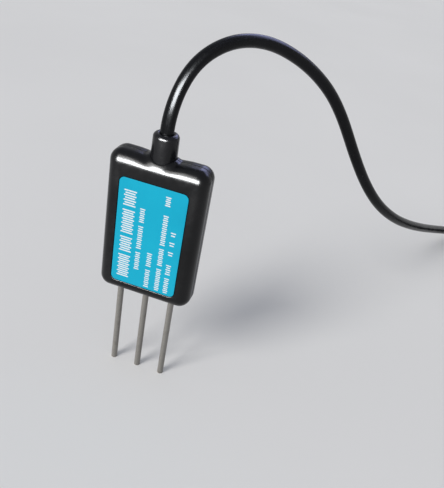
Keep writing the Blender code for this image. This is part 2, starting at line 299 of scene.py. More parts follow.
# ---------------------------------------------------------------- materials
class Mat:
    """A Principled material whose colour, roughness and bump come from procedural nodes."""

    def __init__(self, name, metallic=0.0, specular=0.5, coat=0.0, coat_rough=0.1, ior=1.5, sss=0.0, aniso=0.0):
        self.mat = bpy.data.materials.new(name)
        self.mat.use_nodes = True
        self.tree = self.mat.node_tree
        self.shader = self.tree.nodes["Principled BSDF"]
        s = self.shader.inputs
        s["Metallic"].default_value = metallic
        s["Specular IOR Level"].default_value = specular
        s["IOR"].default_value = ior
        s["Coat Weight"].default_value = coat
        s["Coat Roughness"].default_value = coat_rough
        s["Anisotropic"].default_value = aniso
        self.height = None
        self.coords = {}

    def node(self, kind, **inputs):
        made = self.tree.nodes.new(kind)
        for key, value in inputs.items():
            key = key.replace("_", " ")
            if hasattr(value, "links"):
                self.tree.links.new(value, made.inputs[key])
            else:
                made.inputs[key].default_value = value
        return made

    def place(self, source="object", scale=(1.0, 1.0, 1.0)):
        key = (source, scale)
        if key not in self.coords:
            if source == "object":
                out = self.node("ShaderNodeTexCoord").outputs["Object"]
            else:
                node = self.node("ShaderNodeAttribute")
                node.attribute_name = source
                out = node.outputs["Vector"]
            mapping = self.node("ShaderNodeMapping")
            mapping.inputs["Scale"].default_value = scale
            self.tree.links.new(out, mapping.inputs["Vector"])
            self.coords[key] = mapping.outputs["Vector"]
        return self.coords[key]

    def noise(self, scale, detail=4.0, rough=0.55, distortion=0.0, source="object", stretch=(1.0, 1.0, 1.0)):
        node = self.node("ShaderNodeTexNoise", Scale=scale, Detail=detail, Roughness=rough, Distortion=distortion)
        self.tree.links.new(self.place(source, stretch), node.inputs["Vector"])
        return node.outputs["Fac"]

    def cells(self, scale, source="object", stretch=(1.0, 1.0, 1.0), feature="F1"):
        node = self.node("ShaderNodeTexVoronoi", Scale=scale)
        node.feature = feature
        self.tree.links.new(self.place(source, stretch), node.inputs["Vector"])
        return node.outputs["Distance"]

    def ramp(self, value, stops, smooth=True):
        node = self.tree.nodes.new("ShaderNodeValToRGB")
        if smooth:
            node.color_ramp.interpolation = "EASE"
        while len(node.color_ramp.elements) < len(stops):
            node.color_ramp.elements.new(0.5)
        for e, (at, colour) in zip(node.color_ramp.elements, stops):
            e.position = at
            c = colour if hasattr(colour, "__len__") else (colour,) * 3
            e.color = (*c, 1.0)
        self.tree.links.new(value, node.inputs["Fac"])
        return node.outputs["Color"]

    def maths(self, operation, a, b=0.5, c=0.5):
        node = self.tree.nodes.new("ShaderNodeMath")
        node.operation = operation
        for k, v in enumerate((a, b, c)):
            if hasattr(v, "links"):
                self.tree.links.new(v, node.inputs[k])
            else:
                node.inputs[k].default_value = v
        return node.outputs[0]

    def mix(self, factor, a, b, blend="MIX"):
        node = self.tree.nodes.new("ShaderNodeMix")
        node.data_type = "RGBA"
        node.blend_type = blend
        for k, v in ((0, factor), (6, a), (7, b)):
            if hasattr(v, "links"):
                self.tree.links.new(v, node.inputs[k])
            elif k == 0:
                node.inputs[k].default_value = v
            else:
                node.inputs[k].default_value = (*v, 1.0)
        return node.outputs[2]

    def colour(self, socket):
        self.tree.links.new(socket, self.shader.inputs["Base Color"])
        return self

    def rough(self, value, low, high, a=0.3, b=0.7):
        self.tree.links.new(self.ramp(value, [(a, low), (b, high)]), self.shader.inputs["Roughness"])
        return self

    def bump(self, value, distance, strength=1.0):
        """distance in millimetres for the full swing of value."""
        node = self.tree.nodes.new("ShaderNodeBump")
        node.inputs["Strength"].default_value = strength
        node.inputs["Distance"].default_value = distance * MM
        self.tree.links.new(value, node.inputs["Height"])
        if self.height is not None:
            self.tree.links.new(self.height, node.inputs["Normal"])
        self.height = node.outputs["Normal"]
        self.tree.links.new(self.height, self.shader.inputs["Normal"])
        return self


def moulded(name, base, low, high, grain=900.0, depth=0.012, specular=0.5, coat=0.0, wear=True, source="object"):
    """Moulded plastic: fine grain, slow flow marks, hair scratches, and lighter scuffs."""
    m = Mat(name, specular=specular, coat=coat, coat_rough=0.12)
    slow = m.noise(55.0, 3.0)
    fine = m.noise(grain, 3.0, 0.6)
    hair = m.noise(140.0, 5.0, 0.65, stretch=(1.0, 6.0, 0.35))
    hair2 = m.noise(160.0, 5.0, 0.65, stretch=(7.0, 1.0, 0.6))
    scratch = m.maths("MAXIMUM", m.ramp(hair, [(0.62, 0.0), (0.70, 1.0)]), m.ramp(hair2, [(0.64, 0.0), (0.72, 1.0)]))
    light = tuple(min(1.0, c * 1.5 + 0.004) for c in base)
    dark = tuple(c * 0.82 for c in base)
    tone = m.ramp(slow, [(0.3, dark), (0.5, base), (0.75, tuple(c * 1.12 + 0.001 for c in base))])
    if wear:
        tone = m.mix(m.maths("MULTIPLY", scratch, 0.35), tone, light)
    m.colour(tone)
    value = m.maths("ADD", m.maths("MULTIPLY", slow, 0.6), m.maths("MULTIPLY", m.noise(420.0, 4.0), 0.4))
    if wear:
        value = m.maths("ADD", value, m.maths("MULTIPLY", scratch, 0.12))
    m.rough(value, low, high)
    m.bump(fine, depth)
    m.bump(slow, depth * 2.0)
    return m


def plain(name, base, low, high, grain=700.0, depth=0.01, metallic=0.0, specular=0.5, stretch=(1.0, 1.0, 1.0), spread=0.15, source="object"):
    """A simple material with a fine grain, a slow tone change and uneven gloss."""
    m = Mat(name, metallic=metallic, specular=specular)
    slow = m.noise(90.0 if source == "object" else 2.5, 3.0, source=source)
    fine = m.noise(grain, 4.0, 0.6, stretch=stretch, source=source)
    m.colour(m.ramp(slow, [(0.3, tuple(c * (1 - spread) for c in base)), (0.7, tuple(min(1.0, c * (1 + spread)) for c in base))]))
    m.rough(fine, low, high)
    m.bump(fine, depth)
    return m


housing_mat = moulded("housing_black", (0.0046, 0.0046, 0.0052), 0.19, 0.28, grain=1500.0, depth=0.006, specular=0.21)
sleeve_mat = moulded("sleeve_matt_black", (0.0070, 0.0070, 0.0086), 0.21, 0.29, grain=1100.0, depth=0.010, specular=0.23)

# teal film: fine dimpled texture, print absorbed unevenly, faint rubbing
label_mat = Mat("label_film", specular=0.22)
slow = label_mat.noise(45.0, 3.0)
rub = label_mat.noise(210.0, 6.0, 0.7, stretch=(1.0, 1.0, 0.25))
tone = label_mat.ramp(slow, [(0.3, (0.003, 0.415, 0.610)), (0.5, (0.004, 0.440, 0.640)), (0.72, (0.006, 0.465, 0.665))])
tone = label_mat.mix(label_mat.maths("MULTIPLY", label_mat.ramp(rub, [(0.60, 0.0), (0.72, 1.0)]), 0.10), tone, (0.08, 0.52, 0.70))
label_mat.colour(tone).rough(rub, 0.38, 0.52).bump(label_mat.cells(2600.0), 0.006).bump(slow, 0.02)

# white screen print: slightly broken coverage
print_mat = Mat("label_print_white", specular=0.3)
patch = print_mat.noise(1500.0, 3.0, 0.6)
print_mat.colour(print_mat.ramp(patch, [(0.28, (0.55, 0.72, 0.78)), (0.45, (0.84, 0.88, 0.90)), (0.7, (0.90, 0.91, 0.91))]))
print_mat.rough(patch, 0.5, 0.62).bump(patch, 0.008)

# ground stainless rod: fine lines around the rod, handling marks
steel_mat = Mat("steel_ground", metallic=0.78, specular=0.4)
lines = steel_mat.noise(1.0, 3.0, 0.6, stretch=(24.0, 24.0, 11000.0))
spots = steel_mat.noise(260.0, 4.0, 0.6)
steel_mat.colour(steel_mat.mix(steel_mat.maths("MULTIPLY", steel_mat.ramp(spots, [(0.5, 0.0), (0.8, 1.0)]), 0.5),
                               steel_mat.ramp(lines, [(0.3, (0.205, 0.197, 0.184)), (0.7, (0.248, 0.239, 0.224))]), (0.105, 0.094, 0.078)))
steel_mat.rough(steel_mat.maths("ADD", steel_mat.maths("MULTIPLY", lines, 0.6), steel_mat.maths("MULTIPLY", spots, 0.4)), 0.26, 0.40)
steel_mat.bump(lines, 0.012).bump(spots, 0.006)

# extruded PVC jacket: lengthwise die lines, soft waves from the cores, a little dust
jacket_mat = Mat("cable_jacket_pvc", specular=0.115)
die = jacket_mat.noise(9.0, 3.0, 0.55, source="along", stretch=(1.0, 1.0, 0.16))
wave = jacket_mat.noise(1.3, 3.0, 0.5, source="along", stretch=(1.0, 1.0, 1.2))
dust = jacket_mat.noise(900.0, 4.0, 0.65)
tone = jacket_mat.ramp(wave, [(0.3, (0.0026, 0.0028, 0.0036)), (0.7, (0.0042, 0.0044, 0.0056))])
tone = jacket_mat.mix(jacket_mat.maths("MULTIPLY", jacket_mat.ramp(dust, [(0.62, 0.0), (0.78, 1.0)]), 0.16), tone, (0.045, 0.045, 0.044))
jacket_mat.colour(tone)
jacket_mat.rough(jacket_mat.maths("ADD", jacket_mat.maths("MULTIPLY", die, 0.5), jacket_mat.maths("MULTIPLY", dust, 0.5)), 0.20, 0.31)
jacket_mat.bump(die, 0.012).bump(dust, 0.004).bump(wave, 0.05)

tie_mat = moulded("tie_nylon", (0.014, 0.014, 0.015), 0.34, 0.48, grain=1300.0, depth=0.010, specular=0.45)
rubber_mat = plain("seal_rubber", (0.020, 0.020, 0.021), 0.62, 0.80, grain=1200.0, depth=0.02, specular=0.3)
tin_mat = plain("tinned_metal", (0.66, 0.66, 0.64), 0.26, 0.46, grain=900.0, depth=0.012, metallic=1.0)
brass_mat = plain("brass_machined", (0.70, 0.50, 0.22), 0.24, 0.42, grain=1.0, depth=0.008, metallic=1.0, stretch=(900.0, 900.0, 4200.0))
carrier_mat = plain("nylon_natural", (0.70, 0.68, 0.60), 0.42, 0.58, grain=900.0, depth=0.012)
epoxy_mat = plain("epoxy_black", (0.022, 0.022, 0.024), 0.14, 0.32, grain=160.0, depth=0.06)
chip_mat = plain("chip_package", (0.020, 0.020, 0.021), 0.50, 0.66, grain=2600.0, depth=0.012, specular=0.4)
can_mat = plain("drawn_can", (0.68, 0.68, 0.66), 0.22, 0.38, grain=1.0, depth=0.006, metallic=1.0, stretch=(700.0, 3200.0, 700.0))
ferrite_mat = plain("ferrite", (0.050, 0.050, 0.052), 0.55, 0.75, grain=2200.0, depth=0.03)

# solder mask with copper tracks and pads under it
board_mat = Mat("board_solder_mask", specular=0.5, coat=0.3, coat_rough=0.2)
tracks = board_mat.cells(330.0, feature="DISTANCE_TO_EDGE")
weave = board_mat.noise(1600.0, 2.0)
trace = board_mat.ramp(tracks, [(0.04, 1.0), (0.08, 0.0)])
board_mat.colour(board_mat.mix(trace, board_mat.ramp(weave, [(0.3, (0.012, 0.115, 0.045)), (0.7, (0.020, 0.150, 0.060))]), (0.045, 0.27, 0.09)))
board_mat.rough(weave, 0.30, 0.42).bump(trace, 0.03).bump(weave, 0.008)

WIRE = {"brown": (0.175, 0.065, 0.030), "black": (0.016, 0.016, 0.018), "yellow": (0.78, 0.56, 0.03), "blue": (0.020, 0.115, 0.50)}
wire_mats = {c: plain("wire_pvc_" + c, v, 0.28, 0.44, grain=1500.0, depth=0.006, spread=0.08) for c, v in WIRE.items()}


def finish_piece(obj, mat, slot, *nodes):
    obj.data.materials.clear()
    obj.data.materials.append(mat.mat)
    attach(obj, "root")
    if nodes:
        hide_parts(*nodes)
    return obj


# ---------------------------------------------------------------- the cable, one 2 m length
NECK_TOP_Z, CABLE_R = 128.4, 2.95
COIL_X, COIL_Y, COIL_R, PITCH = 226.0, 236.0, 44.5, 6.0
COIL_FLOOR, HALF_TURNS, STEP_TURNS = 1.3, 2.99, 0.35
FLOOR_Z = CABLE_R + 0.05
TOTAL_TURNS = 2 * HALF_TURNS + STEP_TURNS
ROUTE = (
    (0.0, 0.0, NECK_TOP_Z), (3.0, 10.0, 152.0), (17.0, 36.0, 163.0), (37.0, 63.0, 155.0),
    (57.0, 84.0, 135.0), (75.0, 98.0, 105.0), (94.0, 115.0, 76.0), (110.8, 136.6, 57.9),
    (124.3, 159.2, 45.9), (142.0, 194.0, 31.0), (160.5, 229.5, 17.4), (178.0, 254.0, 9.0),
    (199.5, 272.0, 5.0),
    (COIL_X, COIL_Y + COIL_R, COIL_FLOOR + FLOOR_Z),
)
free = natural_spline(ROUTE, 1.0, (0, 0, 1), (1, 0, 0))
free[:, 2] = np.maximum(free[:, 2], FLOOR_Z)
coil = []
for t in np.arange(0.004, TOTAL_TURNS, 0.004):
    angle = math.radians(90.0 - 360.0 * t)
    if t < HALF_TURNS:
        r = COIL_R - PITCH * t
    elif t < HALF_TURNS + STEP_TURNS:
        r = COIL_R - PITCH * HALF_TURNS
    else:
        r = COIL_R - PITCH * HALF_TURNS + PITCH * (t - HALF_TURNS - STEP_TURNS)
    climb = float(smoothstep((t - HALF_TURNS) / STEP_TURNS))
    coil.append((COIL_X + r * math.cos(angle), COIL_Y + r * math.sin(angle), COIL_FLOOR + FLOOR_Z + PITCH * climb))
leave = math.radians(90.0 - 360.0 * TOTAL_TURNS)
start = Vector((COIL_X + COIL_R * math.cos(leave), COIL_Y + COIL_R * math.sin(leave), COIL_FLOOR + PITCH + FLOOR_Z))
ahead = Vector((math.sin(leave), -math.cos(leave), 0.0))
TAIL = (
    start, start + 24.0 * ahead + Vector((0, 0, -2.0)), start + 50.0 * ahead + Vector((1.5, 0, -6.0)),
    start + 78.0 * ahead + Vector((6.0, 0, FLOOR_Z - start.z + 0.05)),
    start + 106.0 * ahead + Vector((14.0, 1.5, FLOOR_Z - start.z)),
)
tail = natural_spline(TAIL, 1.0, tuple(ahead), None)
tail[:, 2] = np.maximum(tail[:, 2], FLOOR_Z)
inside = np.array([(0.0, 0.0, z) for z in np.arange(109.8, NECK_TOP_Z - 0.5, 1.0)])
route = even(np.concatenate([inside, free, np.array(coil), tail]), 1.6)

bore = 2.2
cable_piece = sweep(
    "cable_jacketed", route, CABLE_R, 28,
    start_cap=[(CABLE_R - 0.1, 0.0)],
    end_cap=[(CABLE_R - 0.02, 0.10), (CABLE_R - 0.10, 0.19), (CABLE_R - 0.22, 0.22), (bore + 0.12, 0.22),
             (bore, 0.12), (bore, -2.6)],
    wobble=lambda a, s: 0.014 * math.sin(3 * a + 0.24 * s) + 0.010 * math.sin(0.05 * s + 2 * a),
)
finish_piece(cable_piece, jacket_mat, "cable_jacket", "cable", "cable_coil", "cable_tail")

# ---------------------------------------------------------------- leads and their tinned strands
LEAD_R = 0.75
tip = Vector(tail[-1])
way = (tip - Vector(tail[-6])).normalized()
way.z = 0.0
way.normalize()
side_way = Vector((-way.y, way.x, 0.0))
LEADS = {"brown": (-0.95, 0.95, -10.0, 33.0), "black": (-0.95, -0.95, -3.6, 36.0),
         "yellow": (0.95, -0.95, 3.2, 35.0), "blue": (0.95, 0.95, 9.5, 32.0)}
on_cord = []
for colour, (across, up, spread, reach) in LEADS.items():
    base = tip + way * 0.3 + side_way * across + Vector((0, 0, up))
    floor_drop = Vector((0, 0, LEAD_R + 0.05 - tip.z))
    knots = [
        base - way * 2.6, base, base + way * 3.0,
        tip + way * (reach * 0.45) + side_way * (spread * 0.45 + across) + Vector((0, 0, up * 0.4 - 1.2)),
        tip + way * (reach * 0.75) + side_way * (spread * 0.85) + floor_drop,
        tip + way * reach + side_way * spread + floor_drop,
    ]
    run = natural_spline([tuple(k) for k in knots], 0.5, tuple(way), None)
    run[:, 2] = np.maximum(run[:, 2], LEAD_R + 0.05)
    lead = sweep("lead_wire_" + colour, run, LEAD_R, 20, start_cap=[(LEAD_R - 0.05, 0.0)],
                 end_cap=[(LEAD_R - 0.03, 0.05), (LEAD_R - 0.12, 0.09), (0.46, 0.09), (0.42, 0.0)],
                 wobble=lambda a, s: 0.008 * math.sin(2.3 * s + a))
    finish_piece(lead, wire_mats[colour], "wire_" + colour, "lead_" + colour)
    last = Vector(run[-1])
    along = (last - Vector(run[-4])).normalized()
    across_way = along.cross(Vector((0, 0, 1))).normalized()
    over = across_way.cross(along)
    strands = []
    for k in range(7):
        path = []
        for s in np.linspace(-0.4, 6.25, 30):
            if k == 6:
                path.append(last + along * s)
            else:
                a = math.tau * k / 6 + 0.55 * s
                rr = 0.285 * (1.0 - 0.10 * smoothstep((s - 4.5) / 1.7))
                path.append(last + along * s + across_way * (rr * math.cos(a)) + over * (rr * math.sin(a)))
        strands.append(sweep("strand", [tuple(p) for p in path], 0.15, 10,
                             start_cap=[(0.10, 0.03)], end_cap=[(0.12, 0.03), (0.05, 0.05)]))
    tip_piece = join("lead_strands_" + colour, strands)
    finish_piece(tip_piece, tin_mat, "tin", "lead_tip_" + colour)
    on_cord += [lead, tip_piece]

# ---------------------------------------------------------------- cable tie round the coil
def passes(angle_turn):
    out = []
    for k in range(7):
        t = angle_turn + k
        if t <= HALF_TURNS:
            out.append((COIL_R - PITCH * t, COIL_FLOOR + FLOOR_Z))
        elif HALF_TURNS + STEP_TURNS <= t <= TOTAL_TURNS:
            out.append((COIL_R - PITCH * HALF_TURNS + PITCH * (t - HALF_TURNS - STEP_TURNS), COIL_FLOOR + FLOOR_Z + PITCH))
    return out


def hull(points):
    pts = sorted(set((round(float(a), 5), round(float(b), 5)) for a, b in points))

    def half(seq):
        out = []
        for p in seq:
            while len(out) > 1 and (out[-1][0] - out[-2][0]) * (p[1] - out[-2][1]) - (out[-1][1] - out[-2][1]) * (p[0] - out[-2][0]) <= 0:
                out.pop()
            out.append(p)
        return out

    return half(pts)[:-1] + half(pts[::-1])[:-1]


def strap_loop(name, rings, clearance, thick, wide, inner_teeth):
    """A closed strap that hugs the cable passes, in the XZ plane at Y = COIL_Y."""
    cloud = []
    for r, z in rings:
        for a in np.linspace(0, math.tau, 72, endpoint=False):
            cloud.append((COIL_X - r + (CABLE_R + clearance) * math.cos(a), z + (CABLE_R + clearance) * math.sin(a)))
    outline = np.array(hull(cloud))
    closed = np.vstack([outline, outline[:1]])
    run = np.concatenate([[0.0], np.cumsum(np.linalg.norm(np.diff(closed, axis=0), axis=1))])
    count = int(run[-1] / 0.4)
    at = np.linspace(0.0, run[-1], count, endpoint=False)
    pts = np.stack([np.interp(at, run, closed[:, k]) for k in range(2)], axis=1)
    tangent = np.roll(pts, -1, 0) - np.roll(pts, 1, 0)
    tangent /= np.linalg.norm(tangent, axis=1)[:, None]
    outward = np.stack([tangent[:, 1], -tangent[:, 0]], axis=1)
    e = 0.16
    section = [(0.0, -wide / 2 + e), (0.0, wide / 2 - e), (e * 0.3, wide / 2 - e * 0.3), (e, wide / 2),
               (thick - e, wide / 2), (thick - e * 0.3, wide / 2 - e * 0.3), (thick, wide / 2 - e),
               (thick, -wide / 2 + e), (thick - e * 0.3, -wide / 2 + e * 0.3), (thick - e, -wide / 2),
               (e, -wide / 2), (e * 0.3, -wide / 2 + e * 0.3)]
    verts, faces = [], []
    m = len(section)
    for k in range(count):
        for out, side in section:
            x, z = pts[k] + outward[k] * out
            verts.append((x, COIL_Y + side, z))
    for k in range(count):
        n = (k + 1) % count
        for j in range(m):
            i = (j + 1) % m
            faces.append((k * m + j, k * m + i, n * m + i, n * m + j))
    return mesh_object(name, verts, faces, angle=50.0), pts


crossing = passes(0.75)
tie_piece, strap_pts = strap_loop("tie_strap", crossing, 0.06, 0.9, 3.6, False)
top_z = max(z for r, z in crossing) + CABLE_R + 0.06
head_x = COIL_X - 34.0 + 1.5

# head of the tie: a bevelled block with a slot for the strap, its end standing up through it
def bevelled_box(name, size, centre, width, segments=3):
    mesh = bpy.data.meshes.new(name)
    bm = bmesh.new()
    bmesh.ops.create_cube(bm, size=1.0, matrix=Matrix.Translation(Vector(centre) * MM) @ Matrix.Diagonal((*[s * MM for s in size], 1.0)))
    bmesh.ops.bevel(bm, geom=list(bm.edges), offset=width * MM, segments=segments, profile=0.5, affect="EDGES")
    bmesh.ops.recalc_face_normals(bm, faces=bm.faces)
    bm.to_mesh(mesh)
    bm.free()
    obj = bpy.data.objects.new(name, mesh)
    scene.collection.objects.link(obj)
    mesh.shade_smooth()
    mesh.set_sharp_from_angle(angle=math.radians(40))
    return obj


head = bevelled_box("tie_head_block", (5.0, 4.8, 3.4), (head_x, COIL_Y, top_z + 0.9 + 1.55), 0.45, 3)
slot_cut = bevelled_box("slot_cut", (1.7, 3.9, 8.0), (head_x, COIL_Y, top_z + 0.9 + 1.55), 0.15, 2)
boolean(head, slot_cut)
settle(head)
drop(slot_cut)
teeth, rows = [], 11.4
verts, faces = [], []
steps = 46
for k in range(steps + 1):
    s = rows * k / steps
    saw = 0.16 * ((k % 2) == 0) if 1 < k < steps - 2 else 0.0
    lean = 0.35 * (s / rows) ** 2
    narrow = 1.5 - 0.35 * smoothstep((s - rows + 1.6) / 1.6)
    z = top_z + 1.0 + s
    for x, y in ((-0.45 + saw, -narrow), (0.45, -narrow), (0.45, narrow), (-0.45 + saw, narrow)):
        verts.append((head_x + x + lean, COIL_Y + y, z))
for k in range(steps):
    for j in range(4):
        i = (j + 1) % 4
        faces.append((k * 4 + j, k * 4 + i, (k + 1) * 4 + i, (k + 1) * 4 + j))
faces += [(3, 2, 1, 0), tuple(steps * 4 + j for j in range(4))]
strap_end = mesh_object("tie_end_strip", verts, faces, angle=30.0)
tie_piece = join("cable_tie", [tie_piece, head, strap_end])
finish_piece(tie_piece, tie_mat, "tie", "coil_tie")

# ---------------------------------------------------------------- housing shells
W, T, H, Z0, R = 45.0, 15.0, 70.0, 48.0, 5.5
ZM = Z0 + H / 2
SEAM_GAP, SEAM_R = 0.06, 0.32
NECK_R = 5.7


def shape_top(v):
    """The shallow saddle across the top and the small collar round the cable outlet."""
    x, y, z = v[:, 0], v[:, 1], v[:, 2]
    high = smoothstep((z - (Z0 + H - R)) / R)
    dip = 1.1 * np.cos(np.clip(np.abs(x) / 13.5, 0, 1) * math.pi / 2) ** 2
    rho = np.hypot(x, y)
    collar = 0.95 * np.exp(-(np.maximum(rho - 5.9, 0.0) / 1.25) ** 2)
    out = v.copy()
    out[:, 2] = z - high * dip + smoothstep((z - 113.0) / 2.5) * collar
    return out


COUNTS = dict(corner=16, across=64, down=26)


def outline(inset_from_full):
    """Outline of the housing at a depth where its sides have drawn in by this much."""
    r = max(R - inset_from_full, 0.0)
    return rounded_outline(0.0, ZM, W / 2 - inset_from_full, H / 2 - inset_from_full, r, **COUNTS)


def inner_outline(inset, wall=2.0, radius=3.5):
    r = max(radius - inset, 0.0)
    pts = rounded_outline(0.0, ZM - 0.5, W / 2 - wall - inset, (H - 6.0) / 2 - inset, r, **COUNTS)
    return pts


def fillet(side, n=18):
    """Layers from the flat face inwards over the rounded edge, as (inset, y)."""
    out = []
    for k in range(n + 1):
        a = math.radians(90.0 - 90.0 * k / n)
        out.append((R - R * math.cos(a), side * (T / 2 - R + R * math.sin(a))))
    return out


def shell_layers(side, recess):
    flat = []
    if recess:
        lx, lz, lr = 15.9, 26.8, 2.7
        label_z = Z0 + 32.9
        for grow, y in ((0.0, -6.9), (0.0, -7.30), (0.03, -7.40), (0.09, -7.47), (0.18, -7.50)):
            flat.append((rounded_outline(0.0, label_z, lx + grow, lz + grow, lr + grow, **COUNTS), y))
        flat.insert(0, (rounded_outline(0.0, label_z, lx - 0.12, lz - 0.12, lr - 0.12, **COUNTS), -6.9))
        flat[1] = (rounded_outline(0.0, label_z, lx, lz, lr, **COUNTS), -7.0)
    else:
        gx, gz, gr = 15.2, 27.6, 3.0
        centre = ZM - 0.6
        flat.append((rounded_outline(0.0, centre, gx - 0.30, gz - 0.30, gr - 0.30, **COUNTS), 7.5))
        for grow, y in ((-0.18, 7.47), (-0.08, 7.38), (-0.04, 7.22), (0.04, 7.22), (0.08, 7.38), (0.18, 7.47)):
            flat.append((rounded_outline(0.0, centre, gx + grow, gz + grow, gr + grow, **COUNTS), y))
        flat.append((rounded_outline(0.0, centre, gx + 0.30, gz + 0.30, gr + 0.30, **COUNTS), 7.5))
    layers = list(flat)
    layers.append((rounded_outline(0.0, ZM, W / 2 - R - 0.35, H / 2 - R - 0.35, 0.35, **COUNTS), side * T / 2))
    layers += [(outline(i), y) for i, y in fillet(side)]
    edge = SEAM_GAP / 2
    layers += [(outline(0.0), side * y) for y in np.linspace(T / 2 - R, edge + SEAM_R + 0.05, 6)[1:]]
    for k in range(6):
        a = math.radians(18.0 * k)
        layers.append((outline(SEAM_R * (1.0 - math.cos(a))), side * (edge + SEAM_R * (1.0 - math.sin(a)))))
    layers.append((inner_outline(0.0), side * edge))
    depth = T / 2 - 2.0
    for k in range(9):
        a = math.radians(90.0 * k / 8)
        layers.append((inner_outline(3.5 - 3.5 * math.cos(a)), side * (depth - 3.5 + 3.5 * math.sin(a))))
    layers.append((rounded_outline(0.0, ZM - 0.5, 12.0, 25.0, 0.2, **COUNTS), side * depth))
    return layers


def cut_holes(shell):
    bore = turned("bore_cut", [(0.0, 115.2), (5.84, 115.2), (5.84, 135.0), (0.0, 135.0)], 72)
    stem = turned("stem_cut", [(0.0, 108.5), (4.45, 108.5), (4.45, 118.0), (0.0, 118.0)], 48)
    pocket = turned("pocket_cut", [(0.0, 108.0), (5.7, 108.0), (5.7, 114.55), (0.0, 114.55)], 48)
    tools = [pocket, bore, stem]
    for k, x in enumerate((-13.0, 0.0, 13.0)):
        tools.append(turned(f"probe_cut_{k}", [
            (0.0, Z0 - 1.0), (2.05, Z0 - 1.0), (2.05, Z0), (1.86, Z0 + 0.03), (1.70, Z0 + 0.12), (1.60, Z0 + 0.28),
            (1.60, Z0 + 6.0), (0.0, Z0 + 6.0)], 40, (x, 0.0, 0.0)))
    for tool in tools:
        boolean(shell, tool)
        settle(shell)
        shell.modifiers.clear()
    drop(*tools)
    return shell


front_piece = loft("front_shell_moulded", shell_layers(-1, True), shape_top, merge=0.004)
rear_piece = loft("rear_shell_moulded", shell_layers(1, False), shape_top, merge=0.004)
cut_holes(front_piece)
cut_holes(rear_piece)
finish_piece(front_piece, housing_mat, "housing", "front_shell")
finish_piece(rear_piece, housing_mat, "housing", "rear_shell")

# ---------------------------------------------------------------- cable outlet sleeve
top_r = 5.55
rim = 1.8
profile = [(3.0, 127.6), (3.04, 128.05), (3.14, 128.28), (3.28, 128.38)]
profile += arc((top_r - rim, 128.4 - rim), rim, 88, 4, 15)
profile += [(top_r + 0.01, 126.3), (5.60, 123.0), (5.66, 119.5), (NECK_R, 117.6), (NECK_R, 115.5), (NECK_R - 0.1, 115.4),
            (4.3, 115.4), (4.2, 115.3), (4.2, 114.3), (5.2, 114.3), (5.35, 114.15), (5.35, 113.15), (5.2, 113.0),
            (3.2, 113.0), (3.1, 113.1), (3.1, 119.2), (4.65, 119.4), (4.65, 122.6), (3.1, 122.8), (3.0, 124.0)]
sleeve_piece = turned("cable_sleeve_moulded", profile, 96)
finish_piece(sleeve_piece, sleeve_mat, "sleeve", "cable_sleeve")

# ---------------------------------------------------------------- label film and its greeked print
LX, LZ, LR, LC = 15.6, 26.5, 2.4, Z0 + 32.9
film = []
for inset, y in ((0.05, -7.205), (0.0, -7.22), (0.0, -7.40), (0.03, -7.435), (0.09, -7.45)):
    film.append((rounded_outline(0.0, LC, LX - inset, LZ - inset, LR - inset, corner=12, across=16, down=24), y))
film.append((rounded_outline(0.0, LC, LX - 0.6, LZ - 0.6, LR - 0.6, corner=12, across=16, down=24), -7.45))
label_piece = loft("label_film", film, merge=0.001)
finish_piece(label_piece, label_mat, "label", "label")

bars_v, bars_f = [], []


def bar(u0, u1, v0, v1):
    """One printed bar. u runs from the label's left edge and v down from its top, in mm."""
    x0, x1, z1, z0 = -LX + u0, -LX + u1, LC + LZ - v0, LC + LZ - v1
    r = min(0.16, 0.42 * min(x1 - x0, z1 - z0))
    pts = []
    for cx, cz, a0 in ((x1 - r, z0 + r, -90), (x1 - r, z1 - r, 0), (x0 + r, z1 - r, 90), (x0 + r, z0 + r, 180)):
        for a in (0, 30, 60, 90):
            q = math.radians(a0 + a)
            pts.append((cx + r * math.cos(q), cz + r * math.sin(q)))
    first = len(bars_v)
    n = len(pts)
    for y in (-7.452, -7.484):
        bars_v.extend((x, y, z) for x, z in pts)
    bars_f.append(tuple(range(first, first + n)))
    bars_f.append(tuple(first + n + k for k in reversed(range(n))))
    for k in range(n):
        m = (k + 1) % n
        bars_f.append((first + k, first + m, first + n + m, first + n + k))


def greeked(u0, u1, v0, v1, words, pitch=1.06, thick=0.56, gap=1.5):
    """A line of print greeked as a plain hatch: even bars across the line, in groups with gaps between them, and no lettering.
    words gives each group's share of the line."""
    room = (v1 - v0) - gap * (len(words) - 1)
    at = v0
    for share in words:
        span = room * share / sum(words)
        n = max(1, int(round(span / pitch)))
        for k in range(n):
            v = at + (k + 0.5) * span / n
            short = 0.10 * (u1 - u0) * (k % 2)
            bar(u0 + short, u1 - short, v - thick / 2, v + thick / 2)
        at += span + gap


greeked(2.6, 8.4, 5.0, 50.0, (2, 3, 2, 3), 1.12, 0.62)
greeked(10.6, 13.0, 12.0, 44.0, (3, 5, 4))
greeked(16.2, 18.6, 33.0, 52.0, (3, 4))
greeked(21.4, 23.8, 3.0, 7.8, (1,))
greeked(21.4, 23.8, 12.0, 52.0, (5, 3, 4))
for v0, v1 in ((19.0, 21.6), (24.0, 26.6), (29.0, 31.6)):
    greeked(25.7, 28.1, v0, v1, (1,))
greeked(25.7, 28.1, 36.0, 52.0, (2, 3))
print_piece = mesh_object("label_print_bars", bars_v, bars_f, angle=30.0)
finish_piece(print_piece, print_mat, "label")

